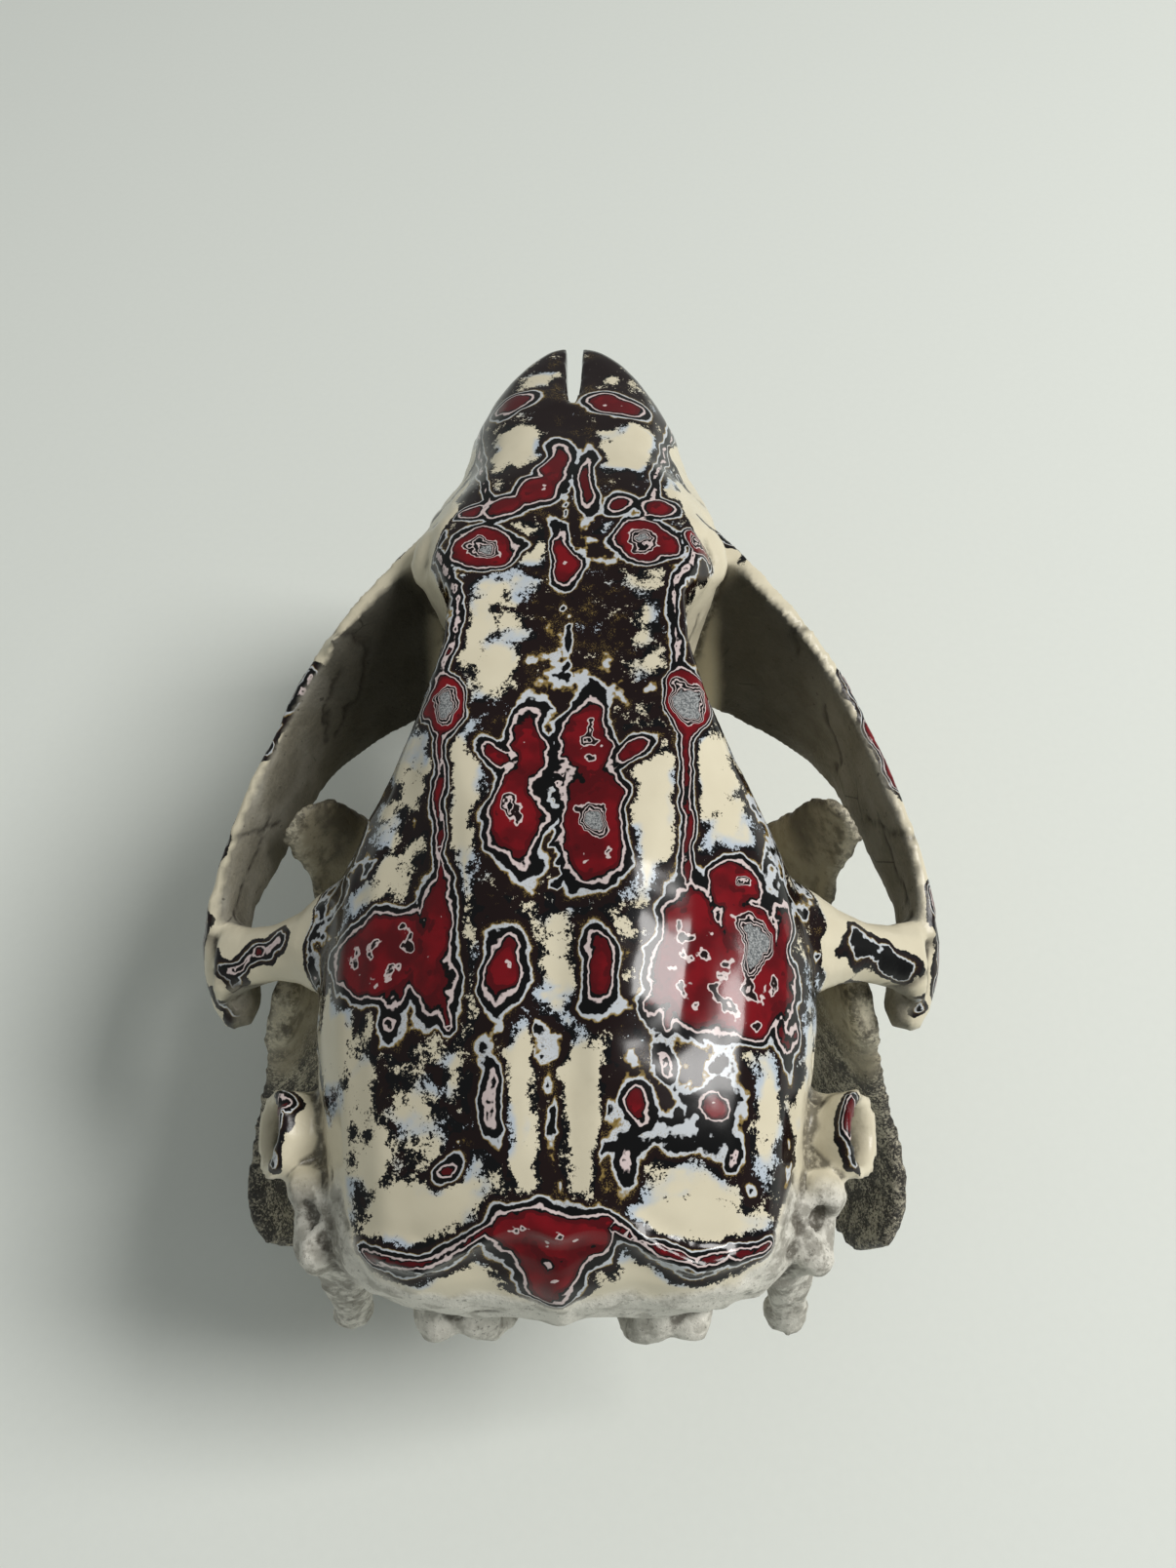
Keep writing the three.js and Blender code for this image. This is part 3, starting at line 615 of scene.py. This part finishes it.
def make_cranium():
    made = remeshed("cranium", "skull_bone", FINE)
    mesh = made.data
    points = to_skull(coordinates(mesh))
    freedom = np.clip(0.35 + 0.65 * vault_share(points), 0, 1) * (1 - 0.3 * arch_share(points))
    near_slot = smoothstep(3.0, 1.4, np.abs(points[:, 0])) * smoothstep(112, 115, points[:, 1])
    relaxed(mesh, 30, freedom * (1 - 0.9 * near_slot))
    push_out(mesh, cranium_relief(to_skull(coordinates(mesh))))
    relaxed(mesh, 1)
    points = to_skull(coordinates(mesh))
    vault = vault_share(points)
    outward = normals_of(mesh) @ TIP
    inner = arch_share(points) * smoothstep(0.1, -0.25, outward[:, 0] * np.sign(points[:, 0]))
    store(mesh, "strata", strata(points) * vault + side_strata(points) * (1 - vault))
    store(mesh, "vault", vault)
    store(mesh, "calm", smoothstep(88, 94, points[:, 1]))
    store(mesh, "raw", inner)
    # Painted shade: darkens the bare inner faces of the arches towards the front, deep in the orbit.
    store(mesh, "orbit", inner * smoothstep(68, 82, points[:, 1]))
    rugged = rugged_share(points) * (1 - vault)
    store(mesh, "back", np.maximum(back_share(points, vault), rugged))
    store(mesh, "rugged", rugged)
    store(mesh, "hollow", hollows(mesh))
    # Dark seams, the bone's own colour, and painted shade at the holes' bottoms.
    store(mesh, "mark", np.maximum(seams(points) * 0.7, pits(points, deep=False)) * (1 - vault))
    shaded_smooth(mesh)
    return made


def make_jaw(side):
    made = remeshed(f"mandible_{side}", f"jaw_bone_{side}", JAW_FINE)
    mesh = made.data
    relaxed(mesh, 26)
    points = to_skull(coordinates(mesh))
    above = smoothstep(0.6, 2.4, coordinates(mesh)[:, 2] / MM)
    rough = 0.26 * noise(points, 5.0, 71) + 0.16 * noise(points, 1.9, 72, 2)
    push_out(mesh, rough * above)
    # The jaw stands on the table and doesn't go through it.
    standing = coordinates(mesh)
    standing[:, 2] = np.maximum(standing[:, 2], 0)
    set_coordinates(mesh, standing)
    points = to_skull(standing)
    store(mesh, "height", points[:, 2])
    store(mesh, "rear", points[:, 1])
    store(mesh, "out", np.abs(points[:, 0]))
    store(mesh, "hollow", hollows(mesh))
    shaded_smooth(mesh)
    return made


def make_tooth(node, name):
    made = remeshed(node, name, TOOTH_FINE)
    relaxed(made.data, 5)
    shaded_smooth(made.data)
    return made


# Materials. Colours are linear.

def srgb(*levels):
    """A colour given as it looks, 0 to 255, as linear values."""
    values = [v / 255 for v in levels]
    linear = [v / 12.92 if v <= 0.04045 else ((v + 0.055) / 1.055) ** 2.4 for v in values]
    return (*linear, 1)


class Nodes:
    """Builds one material's node tree."""

    def __init__(self, name):
        self.material = bpy.data.materials.new(name)
        self.material.use_nodes = True
        self.tree = self.material.node_tree
        self.tree.nodes.clear()
        self.shader = self.tree.nodes.new("ShaderNodeBsdfPrincipled")
        output = self.tree.nodes.new("ShaderNodeOutputMaterial")
        self.link(self.shader.outputs[0], output.inputs[0])
        self.place = self.tree.nodes.new("ShaderNodeTexCoord").outputs["Object"]

    def link(self, source, socket):
        self.tree.links.new(source, socket)

    def put(self, value, socket):
        """Sets a socket to a plain value, or links it."""
        if isinstance(value, bpy.types.NodeSocket):
            self.link(value, socket)
        else:
            socket.default_value = value

    def attribute(self, name):
        node = self.tree.nodes.new("ShaderNodeAttribute")
        node.attribute_name = name
        return node.outputs["Fac"]

    def grain(self, size, detail=2.0, rough=0.5, place=None):
        """Noise from 0 to 1 with bumps of about that size in millimetres."""
        node = self.tree.nodes.new("ShaderNodeTexNoise")
        node.inputs["Scale"].default_value = 1 / (size * MM)
        node.inputs["Detail"].default_value = detail
        node.inputs["Roughness"].default_value = rough
        self.link(place or self.place, node.inputs["Vector"])
        return node.outputs["Fac"]

    def stretched(self, *scale):
        """The place, scaled along each axis, for a grain that is drawn out."""
        node = self.tree.nodes.new("ShaderNodeVectorMath")
        node.operation = "MULTIPLY"
        self.link(self.place, node.inputs[0])
        node.inputs[1].default_value = scale
        return node.outputs[0]

    def cell_edge(self, size):
        """How far it is to the nearest edge of cells of about that size in millimetres."""
        node = self.tree.nodes.new("ShaderNodeTexVoronoi")
        node.feature = "DISTANCE_TO_EDGE"
        node.inputs["Scale"].default_value = 1 / (size * MM)
        self.link(self.place, node.inputs["Vector"])
        return node.outputs["Distance"]

    def math(self, operation, a, b):
        node = self.tree.nodes.new("ShaderNodeMath")
        node.operation = operation
        self.put(a, node.inputs[0])
        self.put(b, node.inputs[1])
        return node.outputs[0]

    def swing(self, value, size):
        """A value from 0 to 1 as one from minus size to size."""
        return self.math("MULTIPLY", self.math("SUBTRACT", value, 0.5), 2 * size)

    def step(self, value, low, high, start=0.0, end=1.0):
        """Eases from start to end as the value goes from low to high."""
        node = self.tree.nodes.new("ShaderNodeMapRange")
        node.interpolation_type = "SMOOTHSTEP"
        self.put(value, node.inputs["Value"])
        for socket, number in (("From Min", low), ("From Max", high), ("To Min", start), ("To Max", end)):
            self.put(number, node.inputs[socket])
        return node.outputs[0]

    def mix(self, share, a, b):
        """Colour a, turning into colour b as the share goes from 0 to 1."""
        node = self.tree.nodes.new("ShaderNodeMix")
        node.data_type = "RGBA"
        self.put(share, node.inputs["Factor"])
        self.put(a, node.inputs[6])
        self.put(b, node.inputs[7])
        return node.outputs[2]

    def bands(self, value, coats, soft):
        """Flat colours, each from its own level up, with a narrow soft edge."""
        ramp = self.tree.nodes.new("ShaderNodeValToRGB")
        stops = ramp.color_ramp.elements
        stops[0].position, stops[0].color = 0.0, coats[0][1]
        stops[1].position, stops[1].color = 1.0, coats[-1][1]
        for (level, colour), (_, before) in zip(coats[1:], coats[:-1]):
            stops.new(level - soft).color = before
            stops.new(level + soft).color = colour
        self.link(value, ramp.inputs["Fac"])
        return ramp.outputs["Color"]

    def bump(self, height, depth, before=None):
        """Bumps of a height in millimetres, on top of earlier ones."""
        node = self.tree.nodes.new("ShaderNodeBump")
        node.inputs["Strength"].default_value = 1.0
        node.inputs["Distance"].default_value = depth * MM
        self.link(height, node.inputs["Height"])
        if before is not None:
            self.link(before, node.inputs["Normal"])
        return node.outputs["Normal"]

    def finish(self, colour, roughness, normal=None, **plain):
        self.put(colour, self.shader.inputs["Base Color"])
        self.put(roughness, self.shader.inputs["Roughness"])
        if normal is not None:
            self.link(normal, self.shader.inputs["Normal"])
        for socket, value in plain.items():
            self.shader.inputs[socket.replace("_", " ")].default_value = value
        return self.material


NAVY = srgb(7, 7, 10)
UMBER = srgb(24, 11, 11)
GOLD = srgb(140, 118, 66)
ICE = srgb(192, 197, 202)
INK = srgb(5, 5, 6)
BLUSH = srgb(206, 190, 188)
RED = srgb(116, 9, 20)
DARK_RED = srgb(80, 6, 14)
SILVER = srgb(166, 168, 168)

INK_LEVEL = 0.450
RED_LEVEL = 0.610
RED_END = 0.735
SOFT_EDGE = 0.0022

# The lacquer's coats from the top down, each with the level at which it comes through.
COATS = [
    (0.0, NAVY),
    (0.345, UMBER),
    (0.414, GOLD),
    (0.423, ICE),
    (INK_LEVEL, INK),
    (0.520, BLUSH),
    (0.548, INK),
    (0.572, DARK_RED),
    (RED_LEVEL, RED),
    (RED_END, BLUSH),
    (0.757, UMBER),
    (0.806, BLUSH),
    (0.826, INK),
    (0.872, BLUSH),
    (0.890, UMBER),
]


def deep_coats(n, level):
    """The dark, red and silver coats, with gold flakes in the brown one and grey ones in the silver."""
    coats = n.bands(level, COATS, SOFT_EDGE)
    red_begins = n.step(level, RED_LEVEL - 0.010, RED_LEVEL + 0.006)
    red = n.math("MULTIPLY", red_begins, n.step(level, RED_END, RED_END - 0.004))
    uneven = n.step(n.grain(3.6, 3.0), 0.38, 0.62, 0.0, 0.8)
    coats = n.mix(n.math("MULTIPLY", red, uneven), coats, DARK_RED)
    flakes = n.step(n.grain(0.16, 3.0, 0.7), 0.54, 0.60, 0.0, 0.6)
    lower_brown = n.step(level, 0.384, 0.400)
    golden = n.math("MULTIPLY", lower_brown, n.step(level, INK_LEVEL + 0.002, INK_LEVEL - 0.004))
    golden = n.math("MULTIPLY", golden, n.step(n.grain(7.0, 1.0), 0.44, 0.58))
    coats = n.mix(n.math("MULTIPLY", golden, flakes), coats, GOLD)
    silver = n.mix(n.step(n.grain(0.22, 3.0, 0.7), 0.40, 0.62), srgb(92, 96, 98), SILVER)
    return n.mix(n.step(level, SILVER_LEVEL, SILVER_LEVEL + 0.006), coats, silver)


def top_coat(n, level, vault):
    """How far the pale top coat still covers, broken into grains where it is thin, and its colour."""
    breaking = n.swing(n.grain(0.36, 3.0, 0.78), 0.17)
    breaking = n.math("ADD", breaking, n.swing(n.grain(1.9, 3.0), 0.17))
    breaking = n.math("MULTIPLY", breaking, n.step(vault, 0.0, 1.0, 0.25, 1.0))
    dusty = n.math("ADD", level, breaking)
    cover = n.step(dusty, CREAM_LEVEL + 0.006, CREAM_LEVEL - 0.006)
    cream = n.mix(n.grain(5.0, 3.0), srgb(222, 214, 190), srgb(206, 197, 172))
    blue = n.step(n.grain(6.0, 1.0), 0.50, 0.60)
    near_edge = n.step(level, CREAM_LEVEL - 0.12, CREAM_LEVEL)
    thin = n.math("MULTIPLY", n.math("MULTIPLY", near_edge, vault), blue)
    return cover, n.mix(thin, cream, srgb(182, 192, 202))


def bare_bone(n):
    """The arches' inner faces: grey-olive bone, set darker in part as painted shade, with dust and a few
    fine cracks and pores.
    """
    cracks = n.step(n.cell_edge(13.0), 0.0, 0.012, 1.0, 0.0)
    cracks = n.math("MULTIPLY", cracks, n.step(n.grain(9.0), 0.56, 0.62))
    # The bone's tones are darker than its own colour, partly painted shade of the inner faces.
    bone = n.mix(n.grain(0.9, 4.0, 0.7), srgb(92, 89, 78), srgb(140, 135, 120))
    bone = n.mix(n.step(n.grain(7.0, 2.0), 0.40, 0.66, 0.0, 0.5), bone, srgb(150, 147, 136))
    holes = n.step(n.grain(0.8, 2.0), 0.68, 0.74)
    marks = n.math("MAXIMUM", n.math("MULTIPLY", cracks, 0.7), n.math("MULTIPLY", holes, 0.6))
    return n.mix(marks, bone, srgb(40, 36, 30))


def chalky_bone(n):
    """The back and the rough places behind the ears: pale, with dark dust in the pores."""
    blotch = n.step(n.grain(3.2, 3.0, 0.6), 0.50, 0.64)
    pores = n.step(n.math("ADD", n.grain(0.5, 4.0, 0.75), n.swing(n.grain(3.0, 2.0), 0.10)), 0.58, 0.66)
    chalk = n.mix(blotch, srgb(220, 217, 206), srgb(182, 179, 168))
    return n.mix(n.math("MULTIPLY", pores, 0.6), chalk, srgb(72, 68, 62))


def lacquer():
    """The skull: layered lacquer polished through on the vault, pale coat and bare bone elsewhere."""
    n = Nodes("layered_lacquer")
    vault, raw, back = n.attribute("vault"), n.attribute("raw"), n.attribute("back")
    level = n.attribute("strata")
    # The coats wander a little everywhere, and less on the nose.
    lively = n.step(n.attribute("calm"), 0.0, 1.0, 1.0, 0.45)
    for size, reach in ((3.4, 0.10), (1.4, 0.045), (0.5, 0.012)):
        level = n.math("ADD", level, n.math("MULTIPLY", n.swing(n.grain(size, 2.0), reach), lively))
    # Inside the red the deeper coats come through in ragged spots.
    inside = n.step(level, 0.60, 0.67)
    level = n.math("ADD", level, n.math("MULTIPLY", inside, n.swing(n.grain(2.1, 2.5), 0.21)))
    cover, top = top_coat(n, level, vault)
    colour = n.mix(cover, deep_coats(n, level), top)
    # Painted shade, with some dirt, darkens the bare bone towards the orbit.
    orbit_shade = n.math("MULTIPLY", n.attribute("orbit"), 0.75)
    colour = n.mix(raw, colour, n.mix(orbit_shade, bare_bone(n), srgb(38, 36, 29)))
    chalk = n.math("MULTIPLY", back, n.step(level, 0.46, 0.40))
    colour = n.mix(chalk, colour, chalky_bone(n))
    # Darker blotches on the rough bone.
    rough_blotches = n.step(n.grain(2.2, 4.0, 0.7), 0.44, 0.60, 0.1, 0.6)
    colour = n.mix(n.math("MULTIPLY", n.attribute("rugged"), rough_blotches), colour, srgb(92, 86, 74))
    # Painted shade darkens the hollows and seams, in patches, away from the polished vault.
    hollow_shade = n.step(n.attribute("hollow"), 0.02, 0.22, 0.0, 0.8)
    hollow_shade = n.math("MULTIPLY", hollow_shade, n.step(n.grain(0.8, 3.0, 0.7), 0.30, 0.55, 0.35, 1.0))
    hollow_shade = n.math("MULTIPLY", hollow_shade, n.step(vault, 0.5, 0.0))
    colour = n.mix(hollow_shade, colour, srgb(70, 64, 53))
    # The seams darken in their own colour, and the holes' bottoms as painted shade.
    colour = n.mix(n.attribute("mark"), colour, srgb(34, 30, 26))
    matt = n.math("MAXIMUM", raw, n.math("MULTIPLY", chalk, 0.85))
    roughness = n.math("ADD", n.math("MULTIPLY", matt, 0.42), n.step(vault, 0.0, 1.0, 0.28, 0.13))
    waves = n.bump(n.grain(3.4, 1.0), 0.05)
    unpolished = n.math("ADD", matt, n.step(vault, 0.0, 1.0, 0.30, 0.0))
    rough = n.math("MULTIPLY", n.grain(0.5, 3.0, 0.6), unpolished)
    return n.finish(colour, roughness, n.bump(rough, 0.12, waves), Specular_IOR_Level=0.27)


def raw_bone():
    """Unpolished jaw bone: smooth and beige on the upright hooks, speckled and dark on the heels."""
    n = Nodes("raw_jaw")
    height, rear = n.attribute("height"), n.attribute("rear")
    low = n.step(n.math("ADD", height, n.swing(n.grain(5.0), 6.0)), 9.0, 2.0)
    behind = n.step(n.math("ADD", rear, n.swing(n.grain(6.0), 10.0)), 48.0, 30.0, 0.25, 1.0)
    heel = n.math("MULTIPLY", low, behind)
    fine = n.grain(0.36, 4.0, 0.75)
    dark = n.step(n.math("ADD", fine, n.swing(n.grain(2.6, 3.0), 0.26)), 0.42, 0.52)
    base = n.mix(n.grain(7.0, 2.0), srgb(170, 162, 139), srgb(134, 126, 106))
    veined = n.grain(1.6, 4.0, 0.62, n.stretched(1.0, 0.45, 0.8))
    # The hook's outer rim is pale and streaked, and its inner side dark with painted shade.
    hook = n.step(height, 8.0, 13.0)
    out = n.math("ADD", n.attribute("out"), n.swing(n.grain(2.4, 3.0), 2.0))
    base = n.mix(n.math("MULTIPLY", hook, n.step(out, 33.6, 35.6)), base, srgb(205, 198, 176))
    # Painted shade on the hook's inner side, towards the skull.
    base = n.mix(n.math("MULTIPLY", hook, n.step(out, 33.4, 30.2, 0.0, 0.75)), base, srgb(52, 48, 39))
    streaks = n.math("MULTIPLY", n.step(veined, 0.46, 0.66), n.step(hook, 0.0, 1.0, 0.35, 0.75))
    streaked = n.mix(streaks, base, srgb(88, 81, 66))
    pale = n.mix(n.grain(0.8, 3.0), srgb(196, 190, 170), srgb(150, 143, 124))
    speckled = n.mix(n.math("MULTIPLY", dark, 0.94), pale, srgb(30, 27, 25))
    colour = n.mix(heel, streaked, speckled)
    # Painted shade darkens the jaw's hollows.
    hollow_shade = n.step(n.attribute("hollow"), 0.02, 0.25, 0.0, 0.8)
    colour = n.mix(hollow_shade, colour, srgb(40, 36, 30))
    rims = n.step(n.attribute("hollow"), -0.12, -0.40, 0.0, 0.55)
    rims = n.math("MULTIPLY", rims, n.step(n.grain(0.7, 3.0, 0.7), 0.44, 0.54))
    colour = n.mix(rims, colour, srgb(30, 27, 25))
    holes = n.step(n.grain(0.6, 3.0, 0.6), 0.62, 0.70)
    colour = n.mix(n.math("MULTIPLY", holes, n.step(heel, 0.0, 1.0, 0.35, 0.8)), colour, srgb(18, 15, 13))
    normal = n.bump(n.grain(0.9, 4.0, 0.65), 0.16)
    normal = n.bump(n.math("MULTIPLY", holes, heel), -0.12, normal)
    return n.finish(colour, 0.66, normal)


def orange_enamel():
    n = Nodes("orange_enamel")
    streaks = n.grain(1.3, 3.0, place=n.stretched(1.0, 0.25, 0.12))
    colour = n.mix(n.step(streaks, 0.32, 0.70), srgb(204, 122, 50), srgb(168, 84, 28))
    stain = n.step(n.grain(4.0, 3.0), 0.46, 0.70, 0.0, 0.45)
    colour = n.mix(stain, colour, srgb(112, 56, 22))
    return n.finish(colour, 0.26, n.bump(streaks, 0.05))


def molar_enamel():
    n = Nodes("molar_enamel")
    folds = n.tree.nodes.new("ShaderNodeTexWave")
    folds.bands_direction = "Y"
    folds.inputs["Scale"].default_value = 0.165 / MM
    folds.inputs["Distortion"].default_value = 1.5
    folds.inputs["Detail Scale"].default_value = 2.0
    n.link(n.place, folds.inputs["Vector"])
    groove = n.step(folds.outputs["Fac"], 0.22, 0.06)
    ivory = n.mix(n.grain(3.0, 3.0), srgb(212, 202, 174), srgb(186, 172, 140))
    colour = n.mix(n.math("MULTIPLY", groove, 0.75), ivory, srgb(96, 78, 54))
    return n.finish(colour, 0.32, n.bump(groove, -0.25))


def floor_paper():
    n = Nodes("floor_paper")
    colour = n.mix(n.grain(1.4, 2.0), srgb(228, 232, 226), srgb(225, 229, 223))
    return n.finish(colour, 0.75)


# Stage: camera, light and floor.

# The camera's place in the skull's frame, its angles in radians, and its focal length in the
# photograph's pixels.
CAMERA_PLACE = (5.59, -4.57, 156.39)
CAMERA_DOWN = 1.1034
CAMERA_ROLL = -0.0491
CAMERA_YAW = -0.0502
FOCAL = 1206.0
IMAGE_HEIGHT = 1608
SENSOR = 36.0

WINDOW_PLACE = (0.80, 0.0, 1.0)
WINDOW_AIM = (0, 0, 0.03)
WINDOW_SIZE = (0.38, 0.48)
WINDOW_POWER = 12.7
SKY_STRENGTH = 0.295
FLOOR_HALF = 3.0


def make_camera():
    ahead = np.array([
        math.sin(CAMERA_YAW) * math.cos(CAMERA_DOWN),
        math.cos(CAMERA_YAW) * math.cos(CAMERA_DOWN),
        -math.sin(CAMERA_DOWN),
    ])
    right = np.cross(ahead, [0, 0, 1])
    right /= np.linalg.norm(right)
    up = np.cross(right, ahead)
    c, s = math.cos(CAMERA_ROLL), math.sin(CAMERA_ROLL)
    across, upright = right * c + up * s, up * c - right * s
    data = bpy.data.cameras.new("camera")
    data.sensor_width = SENSOR
    data.lens = FOCAL / IMAGE_HEIGHT * SENSOR
    data.clip_start, data.clip_end = 0.005, 10
    made = bpy.data.objects.new("camera", data)
    bpy.context.scene.collection.objects.link(made)
    turn = np.column_stack([TIP @ across, TIP @ upright, -(TIP @ ahead)])
    made.matrix_world = Matrix.Translation(to_row(CAMERA_PLACE)) @ Matrix(turn.tolist()).to_4x4()
    bpy.context.scene.camera = made


def make_window():
    """One soft light from the right."""
    data = bpy.data.lights.new("window", "AREA")
    data.shape = "RECTANGLE"
    data.size, data.size_y = WINDOW_SIZE
    data.energy = WINDOW_POWER
    data.color = (1.0, 0.985, 0.965)
    made = bpy.data.objects.new("window", data)
    made.location = WINDOW_PLACE
    ahead = Vector(WINDOW_AIM) - Vector(WINDOW_PLACE)
    made.rotation_euler = ahead.to_track_quat("-Z", "Y").to_euler()
    bpy.context.scene.collection.objects.link(made)


def make_floor():
    corners = [(FLOOR_HALF * x, FLOOR_HALF * y, 0) for x, y in ((-1, -1), (1, -1), (1, 1), (-1, 1))]
    floor = new_object("floor", corners, [range(4)])
    floor.data.materials.append(floor_paper())


def make_sky():
    world = bpy.data.worlds.new("world")
    world.use_nodes = True
    sky = world.node_tree.nodes["Background"]
    sky.inputs["Color"].default_value = (0.96, 1.0, 0.98, 1)
    sky.inputs["Strength"].default_value = SKY_STRENGTH
    bpy.context.scene.world = world
    bpy.context.scene.view_settings.view_transform = "Standard"


def dress(made, material, node):
    """Gives a piece its material, hangs it under the root body and hides the CAD node it stands for."""
    made.data.materials.clear()
    made.data.materials.append(material)
    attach(made, "root")
    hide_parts(node)


make_camera()
make_floor()
make_window()
make_sky()
dress(make_cranium(), lacquer(), "cranium")
jaw_material = raw_bone()
orange = orange_enamel()
ivory = molar_enamel()
for side in ("right", "left"):
    dress(make_jaw(side), jaw_material, f"mandible_{side}")
    for row in ("upper", "lower"):
        node = f"{row}_incisor_{side}"
        dress(make_tooth(node, f"{node}_tooth"), orange, node)
        for kind in ("premolar", "molar_1", "molar_2", "molar_3"):
            node = f"{row}_{kind}_{side}"
            dress(make_tooth(node, f"{node}_tooth"), ivory, node)
